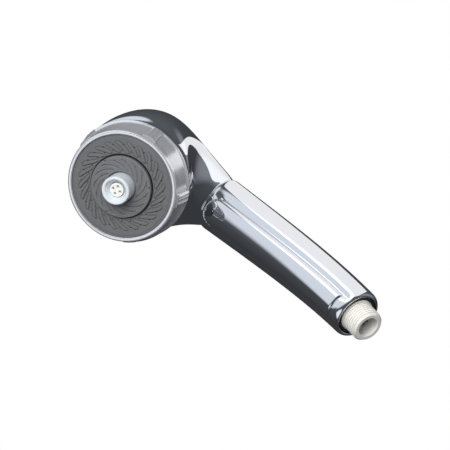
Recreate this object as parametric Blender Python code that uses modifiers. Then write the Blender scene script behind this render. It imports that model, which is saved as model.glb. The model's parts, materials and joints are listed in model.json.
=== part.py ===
"""Handheld shower head: chrome body, turning spray face, valve, waterway and threaded inlet.

Run with: blender --background --python part.py
The object hangs as in use: the inlet points down at the origin and the spray face looks
forward (-Y) and down. Every length below is in millimetres; MM makes it metres.
"""
import math

import bmesh
import bpy
import numpy as np
from mathutils import Matrix

MM = 0.001
FIT = 0.3                 # clearance left between touching pieces

# Head
TILT = math.radians(52)   # angle between the spray axis and the inlet axis
FACE_Y = -109.0           # centre of the spray face
FACE_Z = 140.6
FACE_R = 33.2             # grey spray face
RING_FRONT_R = 35.8
RING_REAR_R = 38.6
RING_DEPTH = 17.4
RIBS = 5
RIB_START = math.radians(-4)
JETS = 24
RIB_HEIGHT = 1.5
DISC_R = 19.9             # raised inner disc
DISC_TOP = 2.2
BOSS_R = 9.2              # cup in the middle
BOSS_TOP = 12.0           # how far the cup stands in front of the face
PLUG_R = 4.5
PLUG_TOP = 9.6
PLUG_JET_CIRCLE_R = 2.4

# Elbow between head and handle, turned about a line beside the throat
PIVOT_DROP = 42.0         # pivot's distance from the head axis, towards the handle
ELBOW = math.radians(102.2)
ELBOW_LEAN = math.radians(5.3)    # turns the last oval square to the handle
ELBOW_INNER = (3.8, 20.2)     # pivot to throat: at the ring, at the handle
ELBOW_OUTER = (80.2, 56.4)    # pivot to crown: at the ring, at the handle
HEAD_BULGE = 8.5              # how far the dome swells sideways behind the ring

# Handle
HANDLE_SPINE = ((135.0, -34.6), (110.6, -25.1), (86.6, -16.8), (62.3, -8.9), (37.6, -3.0), (12.5, 0.0))
HANDLE_LENGTH = 128.0
HANDLE_TOP_R = 18.4
HANDLE_END_R = 16.2
VALLEY_ANGLE = math.radians(40)   # groove either side of the front insert
VALLEY_WIDTH = math.radians(10)
VALLEY_DEPTH = 1.3
RIDGE_HEIGHT = 1.2                # keel down the middle of the insert
CREASE_DEPTH = 1.2                # waist where the neck meets the handle
CREASE_SHARE = 0.022
RIM_ROUNDING = 1.8
RIM_SHARE = 0.972
INSERT_SPAN = (0.02, 0.93)        # shares of the handle's length
INSERT_ROUND = 11.0               # length of the insert's round top end
INSERT_DEPTH = 1.3
WALL = 2.6
OUTER_POINTS = 44
INNER_POINTS = 16

# Inlet: a half-inch parallel pipe thread
THREAD_R = 10.48
THREAD_ROOT_R = 9.32
THREAD_PITCH = 1.814
NIPPLE_BORE_R = 6.6
RIM_Z = 12.5
GASKET_TOP_Z = 14.6
THREAD_TURNS = 6

# Engine behind the face, measured along the head axis (negative is behind the face)
HOUSING_R = 30.0
HOUSING_FRONT = -15.6
POST_TOP = -19.2
HOUSING_REAR = -36.0
SCREW_R = 2.0
SCREW_CIRCLE_R = 23.5
SCREW_START = math.radians(10)
DETENT_R = 22.0
TUBE_R = 6.0
TUBE_BORE_R = 4.2


def clear_scene():
    for obj in list(bpy.data.objects):
        bpy.data.objects.remove(obj, do_unlink=True)


def collection(name, hidden=False):
    made = bpy.data.collections.new(name)
    bpy.context.scene.collection.children.link(made)
    made.hide_render = hidden
    return made


clear_scene()
PARTS = collection("handheld_shower_head")
CUTTERS = collection("cutters", hidden=True)


def material(name, color, metallic, roughness):
    made = bpy.data.materials.new(name)
    made.use_nodes = True
    shader = made.node_tree.nodes["Principled BSDF"]
    shader.inputs["Base Color"].default_value = (*color, 1.0)
    shader.inputs["Metallic"].default_value = metallic
    shader.inputs["Roughness"].default_value = roughness
    return made


LOOKS = {
    "chrome": ((0.80, 0.81, 0.84), 1.0, 0.06),
    "face_grey": ((0.13, 0.13, 0.135), 0.0, 0.50),
    "disc_grey": ((0.16, 0.16, 0.165), 0.0, 0.48),
    "boss_pale": ((0.62, 0.66, 0.68), 0.0, 0.35),
    "plug_white": ((0.86, 0.84, 0.80), 0.0, 0.40),
    "inlet_white": ((0.83, 0.80, 0.75), 0.0, 0.42),
    "acetal": ((0.75, 0.75, 0.73), 0.0, 0.45),
    "engine_black": ((0.03, 0.03, 0.032), 0.0, 0.50),
    "blue_plastic": ((0.10, 0.22, 0.42), 0.0, 0.40),
    "rubber_black": ((0.02, 0.02, 0.02), 0.0, 0.75),
    "steel": ((0.60, 0.60, 0.61), 1.0, 0.28),
}


def finish(obj, look, parent=None):
    """Name the object's material, file it in its collection and hang it on its parent."""
    color, metallic, roughness = LOOKS[look]
    obj.data.materials.clear()
    obj.data.materials.append(material(obj.name, color, metallic, roughness))
    for home in list(obj.users_collection):
        home.objects.unlink(obj)
    PARTS.objects.link(obj)
    obj.parent = parent
    return obj


def smooth(obj, angle=35):
    obj.data.shade_smooth()
    obj.data.set_sharp_from_angle(angle=math.radians(angle))
    return obj


def mesh_object(name, mesh):
    obj = bpy.data.objects.new(name, mesh)
    bpy.context.scene.collection.objects.link(obj)
    return obj


def turned(name, profile, look, parent=None, steps=28):
    """Turn a profile of (radius, height) points about Z; it ends on the axis or where it began."""
    bm = bmesh.new()
    points = [bm.verts.new((r * MM, 0.0, z * MM)) for r, z in profile]
    for a, b in zip(points, points[1:]):
        bm.edges.new((a, b))
    if profile[0][0] > 0:
        bm.edges.new((points[-1], points[0]))
    mesh = bpy.data.meshes.new(name)
    bm.to_mesh(mesh)
    bm.free()
    obj = mesh_object(name, mesh)
    screw = obj.modifiers.new("turn", "SCREW")
    screw.axis = "Z"
    screw.angle = math.tau
    screw.steps = steps
    screw.render_steps = steps
    screw.use_merge_vertices = True
    screw.merge_threshold = 0.00001
    screw.use_smooth_shade = True
    return finish(obj, look, parent)


def tube_profile(inner, outer, low, high):
    """Closed section of a plain ring, running down its outer side."""
    return [(outer, high), (outer, low), (inner, low), (inner, high)]


def round_section(radius, wire, height, sides=6):
    """Closed round section for an O-ring, running down its outer side."""
    turns = [math.pi / 2 - math.tau * k / sides for k in range(sides)]
    return [(radius + wire * math.cos(a), height + wire * math.sin(a)) for a in turns]


def loft(name, rings, look, parent=None):
    """Close a row of equal rings of points into one solid."""
    count = len(rings[0])
    points = np.concatenate(rings) * MM
    faces = [tuple(range(count))[::-1]]
    for k in range(len(rings) - 1):
        low = k * count
        for j in range(count):
            step = (j + 1) % count
            faces.append((low + j, low + step, low + count + step, low + count + j))
    faces.append(tuple(range(len(points) - count, len(points))))
    mesh = bpy.data.meshes.new(name)
    mesh.from_pydata(points.tolist(), [], faces)
    bm = bmesh.new()
    bm.from_mesh(mesh)
    bmesh.ops.recalc_face_normals(bm, faces=bm.faces)
    bm.to_mesh(mesh)
    bm.free()
    return finish(mesh_object(name, mesh), look, parent)


def boolean(obj, other, operation):
    """Cut with, or join to, another solid, which becomes a hidden tool."""
    for home in list(other.users_collection):
        home.objects.unlink(other)
    CUTTERS.objects.link(other)
    other.hide_render = True
    other.display_type = "WIRE"
    step = obj.modifiers.new(other.name, "BOOLEAN")
    step.operation = operation
    step.object = other
    step.solver = "EXACT"
    return obj


def rod(name, radius, low, high, parent=None, at=(0, 0), sides=24):
    """Round tool of given radius between two heights, at a place across the axis."""
    bpy.ops.mesh.primitive_cylinder_add(vertices=sides, radius=radius * MM, depth=(high - low) * MM)
    obj = bpy.context.active_object
    obj.name = name
    obj.location = (at[0] * MM, at[1] * MM, (low + high) / 2 * MM)
    return finish(obj, "steel", parent)


def block(name, size, centre, parent=None, turn=0.0):
    bpy.ops.mesh.primitive_cube_add(size=1)
    obj = bpy.context.active_object
    obj.name = name
    obj.data.transform(Matrix.Diagonal((*[s * MM for s in size], 1)))
    obj.location = [c * MM for c in centre]
    obj.rotation_euler = (0, 0, turn)
    return finish(obj, "steel", parent)


def around(count, radius, start=0.0):
    """Places of equally spaced features on a circle, with their angles."""
    for k in range(count):
        angle = start + math.tau * k / count
        yield k, angle, (radius * math.cos(angle), radius * math.sin(angle))


def axis_frame(name, location, rotation=(0, 0, 0)):
    frame = bpy.data.objects.new(name, None)
    PARTS.objects.link(frame)
    frame.location = [v * MM for v in location]
    frame.rotation_euler = rotation
    return frame


# ---------------------------------------------------------------- body surfaces

def spray_axes():
    """Unit vectors in the Y-Z plane: along the spray, and across the face to the handle."""
    spray = np.array([0, -math.sin(TILT), -math.cos(TILT)])
    across = np.array([0, math.cos(TILT), -math.sin(TILT)])
    return spray, across


def ease(t):
    return t * t * (3 - 2 * t)


def elbow_sections(inset, points, count=15):
    """Oval sections from the ring round the elbow to the top of the handle."""
    spray, across = spray_axes()
    centre = np.array([0, FACE_Y, FACE_Z]) - spray * (RING_DEPTH + FIT)
    pivot = centre + across * PIVOT_DROP
    turn = np.linspace(0, math.tau, points, endpoint=False)
    shares = list(np.linspace(0, 1, count)[:-1])
    waist = 1 - CREASE_SHARE / 2
    if inset == 0:
        shares.append(waist)
    rings = []
    for t in shares:
        pinch = CREASE_DEPTH if t == waist else 0.0
        swing = t * ELBOW
        out = -across * math.cos(swing) - spray * math.sin(swing)
        swing += ELBOW_LEAN * ease(t)
        plane = -across * math.cos(swing) - spray * math.sin(swing)
        inner = ELBOW_INNER[0] + (ELBOW_INNER[1] - ELBOW_INNER[0]) * t + inset
        outer = ELBOW_OUTER[0] + (ELBOW_OUTER[1] - ELBOW_OUTER[0]) * ease(t) - inset
        half_width = RING_REAR_R + (HANDLE_TOP_R - RING_REAR_R) * ease(t) - inset
        half_width += HEAD_BULGE * math.sin(math.pi * t ** 0.6) - pinch
        middle = pivot + out * (inner + outer) / 2
        reach = (outer - inner) / 2 - pinch
        side = np.array([half_width, 0, 0])
        rings.append(middle - np.outer(np.cos(turn), plane * reach) + np.outer(np.sin(turn), side))
    return rings


def spine(shares):
    """Centre line at shares of the handle's length, with its direction towards the inlet."""
    given = np.array(HANDLE_SPINE)
    steps = np.asarray(shares) * (len(given) - 1)
    bend_z = np.poly1d(np.polyfit(range(len(given)), given[:, 0], 3))
    bend_y = np.poly1d(np.polyfit(range(len(given)), given[:, 1], 3))
    middle = np.zeros(len(steps))
    line = np.stack([middle, bend_y(steps), bend_z(steps)], axis=1)
    ahead = np.stack([middle, bend_y.deriv()(steps), bend_z.deriv()(steps)], axis=1)
    ahead /= np.linalg.norm(ahead, axis=1)[:, None]
    return line, ahead


def handle_radius(angle, share):
    """Radius of the handle's section; angle 0 faces the front, share runs top to inlet."""
    plain = HANDLE_TOP_R + (HANDLE_END_R - HANDLE_TOP_R) * share
    fade = ease(np.clip(share / 0.08, 0, 1)) * ease(np.clip((1 - share) / 0.06, 0, 1))
    off = np.abs((angle + math.pi) % math.tau - math.pi)
    valley = np.exp(-((off - VALLEY_ANGLE) / VALLEY_WIDTH) ** 2) * VALLEY_DEPTH
    ridge = np.clip(1 - off / VALLEY_ANGLE, 0, 1) * RIDGE_HEIGHT
    return plain + (ridge - valley) * fade


def handle_sections(inset, points, count=21):
    """Sections across the handle, from the waist at the neck to the rounded inlet rim."""
    shares = np.linspace(0, 1, count)
    if inset == 0:
        shares = np.sort(np.append(shares, [CREASE_SHARE, RIM_SHARE]))
    line, ahead = spine(shares)
    turn = np.linspace(0, math.tau, points, endpoint=False)
    rings = []
    for share, place, along in zip(shares, line, ahead):
        front = np.cross(along, [1, 0, 0])
        radius = handle_radius(turn, share) - inset
        if inset == 0:
            radius -= {0.0: CREASE_DEPTH, 1.0: RIM_ROUNDING}.get(share, 0.0)
        across = np.outer(np.sin(turn) * radius, [1, 0, 0])
        rings.append(place + np.outer(np.cos(turn) * radius, front) + across)
    return rings


def insert_sections(edge, outer_lift, depth):
    """Sections of the front insert's band: an arc of the handle's wall with a round top end."""
    shares = np.linspace(*INSERT_SPAN, 28)
    line, ahead = spine(shares)
    rings = []
    for share, place, along in zip(shares, line, ahead):
        down = (share - INSERT_SPAN[0]) * HANDLE_LENGTH / INSERT_ROUND + 0.12
        opening = math.sqrt(1 - (1 - min(down, 1)) ** 2)
        half = (VALLEY_ANGLE - math.radians(4)) * opening + edge / HANDLE_TOP_R
        front = np.cross(along, [1, 0, 0])
        angles = np.linspace(-half, half, 13)
        high = handle_radius(angles, share) + outer_lift
        low = handle_radius(angles, share) - depth
        radius = np.concatenate([high, low[::-1]])
        angle = np.concatenate([angles, angles[::-1]])
        across = np.outer(np.sin(angle) * radius, [1, 0, 0])
        rings.append(place + np.outer(np.cos(angle) * radius, front) + across)
    rings[0] = rings[0] - ahead[0] * edge * 2
    rings[-1] = rings[-1] + ahead[-1] * edge * 2
    return rings


# ---------------------------------------------------------------- body and handle

def body_shell(head):
    """Chrome dome, neck and handle in one hollow shell, open at the face and the inlet."""
    outer = elbow_sections(0, OUTER_POINTS) + handle_sections(0, OUTER_POINTS)
    shell = loft("body_shell", outer, "chrome")
    spray, _ = spray_axes()
    inner = elbow_sections(WALL, INNER_POINTS) + handle_sections(WALL, INNER_POINTS)[:-2]
    inner.insert(0, inner[0] + spray * 3)
    boolean(shell, loft("body_hollow", inner, "chrome"), "DIFFERENCE")
    mouth = [(0, RIM_Z + 20), (11.3, RIM_Z + 20), (11.3, GASKET_TOP_Z), (13.4, GASKET_TOP_Z),
             (13.4, RIM_Z - 3), (0, RIM_Z - 3)]
    boolean(shell, turned("inlet_mouth", mouth, "chrome", steps=50), "DIFFERENCE")
    pocket = loft("insert_pocket", insert_sections(FIT, 6, INSERT_DEPTH + FIT), "chrome")
    boolean(shell, pocket, "DIFFERENCE")
    return smooth(shell, 30)


def front_insert():
    """Chrome insert in the front of the handle, with a round top end."""
    piece = loft("front_grip_insert", insert_sections(0, 0.15, INSERT_DEPTH), "chrome")
    return smooth(piece, 30)


def waterway_tube():
    """Bent plastic tube that carries the water from the inlet to the valve housing."""
    line, _ = spine(np.linspace(0, 1, 9))
    spray, across = spray_axes()
    centre = np.array([0, FACE_Y, FACE_Z])
    port = centre + spray * (HOUSING_REAR - 1.0)
    bend = [port - spray * 5, port - spray * 10, port - spray * 19 + across * 9]
    route = [port, *bend, *line[:8]]
    route[-1] = np.array([0, 0, RIM_Z + 24])
    route.append(np.array([0, 0, RIM_Z + 13]))
    tools = []
    for name, radius, lead in (("waterway_tube", TUBE_R, 0.0), ("waterway_bore", TUBE_BORE_R, 2.0)):
        curve = bpy.data.curves.new(name, "CURVE")
        curve.dimensions = "3D"
        curve.bevel_depth = radius * MM
        curve.bevel_resolution = 2
        curve.use_fill_caps = True
        curve.resolution_u = 3
        path = curve.splines.new("BEZIER")
        path.bezier_points.add(len(route) - 1)
        for k, (knot, place) in enumerate(zip(path.bezier_points, route)):
            shift = spray * lead if k == 0 else np.zeros(3)
            shift = np.array([0, 0, -lead]) if k == len(route) - 1 else shift
            knot.co = (place + shift) * MM
            knot.handle_left_type = knot.handle_right_type = "AUTO"
        drawn = mesh_object(name + "_line", curve)
        tools.append(solid_from_curve(drawn, name))
    tube, bore = tools
    finish(tube, "acetal")
    finish(bore, "acetal")
    boolean(tube, bore, "DIFFERENCE")
    return smooth(tube, 40)


def solid_from_curve(drawn, name):
    """Make a curve's tube a closed mesh, welding its end caps."""
    bpy.context.view_layer.update()
    seen = drawn.evaluated_get(bpy.context.evaluated_depsgraph_get())
    mesh = bpy.data.meshes.new_from_object(seen)
    bm = bmesh.new()
    bm.from_mesh(mesh)
    bmesh.ops.remove_doubles(bm, verts=bm.verts, dist=0.00001)
    bmesh.ops.recalc_face_normals(bm, faces=bm.faces)
    bm.to_mesh(mesh)
    bm.free()
    made = mesh_object(name, mesh)
    made.matrix_world = drawn.matrix_world
    bpy.data.objects.remove(drawn, do_unlink=True)
    return made


def inlet_pieces():
    """Threaded nipple with its gasket, filter, restrictor and seals, about the Z axis."""
    top = RIM_Z + 22
    profile = [(9.0, top), (9.0, top - 3), (11.0, top - 3.6), (11.0, RIM_Z + 10.4), (9.8, RIM_Z + 10.4),
               (9.8, RIM_Z + 7.8), (11.0, RIM_Z + 7.8), (11.0, RIM_Z + 0.6), (THREAD_ROOT_R, RIM_Z + 0.6)]
    for k in reversed(range(THREAD_TURNS)):
        low = 0.9 + k * THREAD_PITCH
        profile += [(THREAD_ROOT_R, low + 0.95 * THREAD_PITCH), (THREAD_R, low + 0.6 * THREAD_PITCH),
                    (THREAD_R, low + 0.4 * THREAD_PITCH), (THREAD_ROOT_R, low + 0.05 * THREAD_PITCH)]
    profile += [(THREAD_ROOT_R, 0.0), (NIPPLE_BORE_R, 0.0), (NIPPLE_BORE_R, RIM_Z + 9.6),
                (5.0, RIM_Z + 9.6), (5.0, RIM_Z + 12), (TUBE_R + 1.4, RIM_Z + 12), (TUBE_R + 1.4, top)]
    turned("inlet_nipple", profile, "inlet_white", steps=32)
    turned("inlet_gasket", tube_profile(11.3, 13.1, RIM_Z + 0.4, GASKET_TOP_Z - FIT), "rubber_black")
    turned("nipple_o_ring", round_section(10.55, 0.45, RIM_Z + 9.1), "rubber_black", steps=32)
    turned("inner_tube_o_ring", round_section(TUBE_R + 0.7, 0.4, RIM_Z + 17), "rubber_black")
    base = RIM_Z
    turned("inlet_filter", [(0, base + 1.4), (5.6, base + 1.4), (6.3, base + 0.8), (6.3, base - 3.5),
                            (5.5, base - 3.5), (5.5, base + 0.4), (0, base + 0.4)], "steel", steps=32)
    turned("flow_restrictor", [(0, base + 8.8), (5.8, base + 8.8), (6.2, base + 8.0), (6.2, base + 4.6),
                               (4.0, base + 4.6), (4.0, base + 6.0), (0, base + 6.0)], "blue_plastic",
           steps=32)
    turned("restrictor_o_ring", round_section(5.2, 0.8, base + 3.2), "rubber_black", steps=32)


# ---------------------------------------------------------------- spray face (turns)

def mode_ring(face):
    """Chrome grip ring: a cone with five narrow ribs, and an inner step that holds the face."""
    rear, front = -RING_DEPTH, 0.8
    profile = [(RING_FRONT_R - 0.9, front), (RING_FRONT_R, front - 0.8), (RING_FRONT_R + 0.3, front - 3),
               (RING_REAR_R - 0.4, rear + 1.6), (RING_REAR_R, rear + 0.9), (RING_REAR_R, rear),
               (RING_REAR_R - 2.4, rear), (RING_REAR_R - 3.2, -9), (FACE_R + FIT, -6),
               (FACE_R + FIT, front)]
    ring = turned("mode_ring", profile, "chrome", face, steps=60)
    for k, angle, place in around(RIBS, RING_REAR_R - 0.9, RIB_START):
        rib = block(f"ring_rib_{k}", (2 * RIB_HEIGHT, 3.4, RING_DEPTH - 4.2),
                    (place[0] - 0.55 * math.cos(angle), place[1] - 0.55 * math.sin(angle),
                     rear / 2 - 1.2), face, angle)
        rib.rotation_euler = (0, math.radians(-6.5), angle)
        rounding = rib.modifiers.new("edges", "BEVEL")
        rounding.width = 0.8 * MM
        rounding.segments = 2
        boolean(ring, rib, "UNION")
    return smooth(ring, 30)


def spray_face(face):
    """Grey outer face: a shallow cup with a ring of spray holes and a hub for the valve."""
    profile = [(DISC_R + FIT, 0.0), (FACE_R - 0.4, 0.0), (FACE_R, -0.4), (FACE_R, -8.5), (FACE_R - 2.2, -8.5),
               (FACE_R - 2.2, -2.2), (DISC_R + FIT, -2.2)]
    piece = turned("spray_face", profile, "face_grey", face, steps=60)
    for k, _, place in around(JETS, 0.82 * FACE_R, math.radians(3)):
        boolean(piece, rod(f"jet_{k}", 0.6, -4, 2, face, place, 6), "DIFFERENCE")
    return smooth(piece)


def inner_disc(face):
    """Raised grey disc with three edge notches."""
    profile = [(BOSS_R + FIT, DISC_TOP), (DISC_R - 0.6, DISC_TOP), (DISC_R, DISC_TOP - 0.6), (DISC_R, -2.6),
               (BOSS_R + FIT, -2.6)]
    piece = turned("inner_spray_disc", profile, "disc_grey", face, steps=48)
    for k, _, place in around(3, DISC_R, math.radians(57)):
        boolean(piece, rod(f"disc_notch_{k}", 1.1, 0.2, 4, face, place, 16), "DIFFERENCE")
    return smooth(piece)


def centre_boss(face):
    """Pale cup that stands in front of the face, dished round its plug."""
    profile = [(BOSS_R - 2.2, BOSS_TOP), (BOSS_R - 0.6, BOSS_TOP), (BOSS_R, BOSS_TOP - 0.6), (BOSS_R, -3.4),
               (PLUG_R - 1, -3.4), (PLUG_R - 1, 0.0), (PLUG_R + FIT, 0.0), (PLUG_R + FIT, PLUG_TOP - 0.8)]
    return smooth(turned("centre_boss", profile, "boss_pale", face, steps=40))


def jet_plug(face):
    """White plug in the cup, with four jets."""
    profile = [(0, PLUG_TOP), (PLUG_R - 0.5, PLUG_TOP), (PLUG_R, PLUG_TOP - 0.5), (PLUG_R, FIT), (0, FIT)]
    piece = turned("jet_plug", profile, "plug_white", face, steps=32)
    for k, _, place in around(4, PLUG_JET_CIRCLE_R):
        boolean(piece, rod(f"plug_jet_{k}", 0.85, 3.0, PLUG_TOP + 1, face, place, 14), "DIFFERENCE")
    return smooth(piece)


def face_backplate(face):
    """Plate behind the face with the waterways of the three sprays and the detent notches."""
    profile = [(FACE_R - 2.6, -8.9), (FACE_R - 2.6, -11.4), (3.4, -11.4), (3.4, -8.9)]
    piece = turned("face_backplate", profile, "acetal", face, steps=40)
    for k, _, place in around(3, 14.0, math.radians(90)):
        boolean(piece, rod(f"way_{k}", 2.6, -13, -7, face, place, 20), "DIFFERENCE")
    for k, _, place in around(3, 24.0, math.radians(30)):
        boolean(piece, rod(f"outer_way_{k}", 1.8, -13, -7, face, place, 16), "DIFFERENCE")
    return smooth(piece)


def backplate_seal(face):
    turned("backplate_seal", round_section(FACE_R - 6.2, 0.9, -7.7), "rubber_black", face, steps=40)


def ring_clamp(face):
    """Acetal nut that clamps the face cup against the grip ring's step."""
    profile = tube_profile(FACE_R - 1.0, RING_REAR_R - 4.2, -14.5, -12.0)
    turned("face_clamp_nut", profile, "acetal", face, steps=40)


def massage_turbine(spin):
    """Bladed wheel that breaks the jets into pulses; it spins on the cup's stem."""
    hub = turned("massage_turbine", tube_profile(5.3, 8.0, -7.9, -4.1), "blue_plastic", spin, steps=40)
    for k, angle, place in around(9, 11.6, 0.0):
        blade = block(f"turbine_blade_{k}", (8.0, 0.9, 3.0), (*place, -6.0), spin, angle + 0.35)
        boolean(hub, blade, "UNION")
    return smooth(hub)


def turbine_stem(face):
    turned("turbine_stem", tube_profile(3.2, 4.7, -8.6, -3.7), "acetal", face, steps=28)


# ---------------------------------------------------------------- valve (fixed in the body)

def valve_plate(head):
    """Fixed ported plate that the turning face slides over."""
    edge = HOUSING_R - 2.8
    profile = [(edge, -15.8), (edge, -16.5), (edge - 1.4, -16.5), (edge - 1.4, -18.1), (edge, -18.1),
               (edge, -18.9), (4.0, -18.9), (4.0, -15.8)]
    piece = turned("valve_plate", profile, "acetal", head, steps=40)
    boolean(piece, rod("supply_way", 3.6, -21, -12, head, (0, 14), 24), "DIFFERENCE")
    boolean(piece, rod("plunger_way", 2.3, -21, -12, head, (0, -DETENT_R), 20), "DIFFERENCE")
    for k, _, place in around(3, SCREW_CIRCLE_R, SCREW_START):
        boolean(piece, rod(f"plate_screw_way_{k}", 1.7, -21, -12, head, place, 12), "DIFFERENCE")
    return smooth(piece)


def port_seal(head):
    """Rubber cup that the supply pressure holds against the turning plate."""
    piece = turned("port_seal", tube_profile(2.2, 3.4, -18.0, -11.9), "rubber_black", head, steps=24)
    piece.location = (0, 14 * MM, 0)
    return piece


def valve_housing(head):
    """Black cup behind the plate, with a spindle for the centre screw and a rear spigot."""
    profile = [(HOUSING_R, HOUSING_FRONT), (HOUSING_R, HOUSING_REAR + 4), (HOUSING_R - 9, HOUSING_REAR),
               (9.4, HOUSING_REAR), (9.4, HOUSING_REAR - 8), (TUBE_R + 1.4, HOUSING_REAR - 8),
               (TUBE_R + 1.4, HOUSING_REAR + 1.0), (TUBE_BORE_R, HOUSING_REAR + 1.0),
               (TUBE_BORE_R, HOUSING_REAR + 3), (HOUSING_R - 12, HOUSING_REAR + 3),
               (HOUSING_R - 2.4, HOUSING_REAR + 8), (HOUSING_R - 2.4, HOUSING_FRONT)]
    housing = turned("valve_housing", profile, "engine_black", head, steps=40)
    for k, angle, place in around(3, HOUSING_R / 2 - 0.5, math.radians(90)):
        web = block(f"housing_web_{k}", (HOUSING_R - 2.5, 2.0, 8.0), (*place, HOUSING_REAR + 10.6), head, angle)
        boolean(housing, web, "UNION")
    boolean(housing, rod("spindle", 5.2, HOUSING_REAR + 7, POST_TOP, head, sides=24), "UNION")
    boolean(housing, rod("spindle_bore", SCREW_R + 0.15, HOUSING_REAR + 9, 0, head, sides=24), "DIFFERENCE")
    boolean(housing, rod("detent_post", 4.0, HOUSING_REAR + 4, POST_TOP, head, (0, -DETENT_R), 20), "UNION")
    for k, _, place in around(3, SCREW_CIRCLE_R, SCREW_START):
        boolean(housing, rod(f"screw_post_{k}", 3.2, HOUSING_REAR + 6, POST_TOP, head, place, 16), "UNION")
        boolean(housing, rod(f"screw_hole_{k}", 1.7, HOUSING_REAR + 9, 0, head, place, 12), "DIFFERENCE")
    boolean(housing, rod("detent_bore", 2.3, HOUSING_REAR + 9, 0, head, (0, -DETENT_R), 20), "DIFFERENCE")
    return smooth(housing)


def spindle_sleeve(head):
    """Steel sleeve that the face turns on."""
    turned("spindle_sleeve", tube_profile(SCREW_R + 0.3, 2.9, -19.2, -8.0), "steel", head, steps=24)


def centre_screw(head):
    """Screw through the face into the housing's spindle."""
    profile = [(0, -4.2), (2.4, -4.2), (2.9, -4.8), (2.9, -7.0), (SCREW_R, -7.0), (SCREW_R, -25.5), (0, -26.5)]
    piece = turned("centre_screw", profile, "steel", head, steps=24)
    for turn in (0.0, math.pi / 2):
        slot = block(f"screw_slot_{int(turn)}", (3.6, 0.8, 2.0), (0, 0, -4.2), head, turn)
        boolean(piece, slot, "DIFFERENCE")
    return smooth(piece)


def screw_washer(head):
    turned("screw_washer", tube_profile(SCREW_R + 0.2, 2.95, -7.8, -7.2), "steel", head, steps=24)


def seals(head):
    turned("plate_o_ring", round_section(HOUSING_R - 3.4, 0.5, -17.3), "rubber_black", head, steps=40)
    turned("tube_o_ring", round_section(TUBE_R + 0.7, 0.4, HOUSING_REAR - 3), "rubber_black", head,
           steps=32)


def slip_ring(head):
    """Low-friction ring on which the grip ring runs against the body."""
    profile = tube_profile(HOUSING_R + 0.6, RING_REAR_R - 5.8, -18.6, -17.7)
    turned("slip_ring", profile, "acetal", head, steps=40)


def detent(head, slide):
    """Sprung plunger that clicks the face into its spray positions, with its spring."""
    profile = [(0, -11.8), (0.9, -12.0), (1.6, -12.7), (1.9, -13.6), (1.9, -19.0), (0, -19.0)]
    turned("detent_plunger", profile, "acetal", slide, steps=24)
    turns, wire, radius = 5, 0.25, 1.4
    low, high = HOUSING_REAR + 9.4, -19.3
    curve = bpy.data.curves.new("detent_spring", "CURVE")
    curve.dimensions = "3D"
    curve.bevel_depth = wire * MM
    curve.bevel_resolution = 1
    curve.use_fill_caps = True
    count = turns * 7 + 1
    line = curve.splines.new("POLY")
    line.points.add(count - 1)
    for k, point in enumerate(line.points):
        angle = math.tau * k / 7
        height = low + wire + (high - low - 2 * wire) * k / (count - 1)
        point.co = (radius * math.cos(angle) * MM, radius * math.sin(angle) * MM, height * MM, 1)
    spring = solid_from_curve(mesh_object("spring_line", curve), "detent_spring")
    finish(spring, "steel", head)
    spring.location = (0, -DETENT_R * MM, 0)
    return smooth(spring, 60)


def plate_screws(head):
    """Identical screws that hold the valve plate to the housing."""
    profile = [(0, -14.0), (2.2, -14.0), (2.6, -14.6), (2.6, -15.5), (1.4, -15.5), (1.4, -25.0), (0, -25.6)]
    for k, _, place in around(3, SCREW_CIRCLE_R, SCREW_START):
        piece = turned(f"plate_screw_{k + 1}", profile, "steel", head, steps=20)
        piece.location = (place[0] * MM, place[1] * MM, 0)
        smooth(piece)


def build():
    head = axis_frame("head_axis", (0, FACE_Y, FACE_Z), (math.pi - TILT, 0, 0))
    face = axis_frame("face_axis", (0, FACE_Y, FACE_Z), (math.pi - TILT, 0, 0))
    spin = axis_frame("turbine_axis", (0, FACE_Y, FACE_Z), (math.pi - TILT, 0, 0))
    body_shell(head)
    front_insert()
    waterway_tube()
    inlet_pieces()
    for piece in (mode_ring, spray_face, inner_disc, centre_boss, jet_plug, face_backplate, backplate_seal,
                  ring_clamp, turbine_stem):
        piece(face)
    massage_turbine(spin)
    for piece in (valve_plate, port_seal, valve_housing, spindle_sleeve, centre_screw, screw_washer, seals,
                  slip_ring, plate_screws):
        piece(head)
    plunger_axis = axis_frame("plunger_axis", (0, -DETENT_R, 0))
    plunger_axis.parent = head
    detent(head, plunger_axis)


build()
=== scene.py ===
"""Looks of the handheld shower head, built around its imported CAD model.

The object's lengths are in millimetres until MM turns them into metres; the studio's are in
metres. The head's own axes are x across the body, y up the face and z out along the spray.
"""
import json
import math

import bpy
import numpy as np
from mathutils import Matrix, Vector

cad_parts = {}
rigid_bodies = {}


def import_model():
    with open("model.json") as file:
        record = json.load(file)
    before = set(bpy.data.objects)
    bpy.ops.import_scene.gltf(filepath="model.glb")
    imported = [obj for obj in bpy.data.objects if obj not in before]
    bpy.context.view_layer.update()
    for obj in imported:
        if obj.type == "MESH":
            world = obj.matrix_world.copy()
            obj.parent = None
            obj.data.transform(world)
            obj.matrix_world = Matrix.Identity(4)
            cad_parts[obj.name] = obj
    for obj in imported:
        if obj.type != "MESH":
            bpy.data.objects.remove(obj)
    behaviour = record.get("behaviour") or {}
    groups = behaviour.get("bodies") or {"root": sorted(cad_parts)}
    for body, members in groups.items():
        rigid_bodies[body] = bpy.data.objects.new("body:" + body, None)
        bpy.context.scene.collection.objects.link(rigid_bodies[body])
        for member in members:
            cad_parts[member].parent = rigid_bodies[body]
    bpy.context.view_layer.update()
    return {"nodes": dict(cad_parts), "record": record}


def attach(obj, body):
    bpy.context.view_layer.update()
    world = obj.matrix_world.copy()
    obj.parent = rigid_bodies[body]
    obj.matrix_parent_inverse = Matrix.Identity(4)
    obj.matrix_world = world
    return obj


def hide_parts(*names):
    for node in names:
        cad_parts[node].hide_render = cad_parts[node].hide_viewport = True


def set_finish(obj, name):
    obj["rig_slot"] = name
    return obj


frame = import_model()

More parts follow.
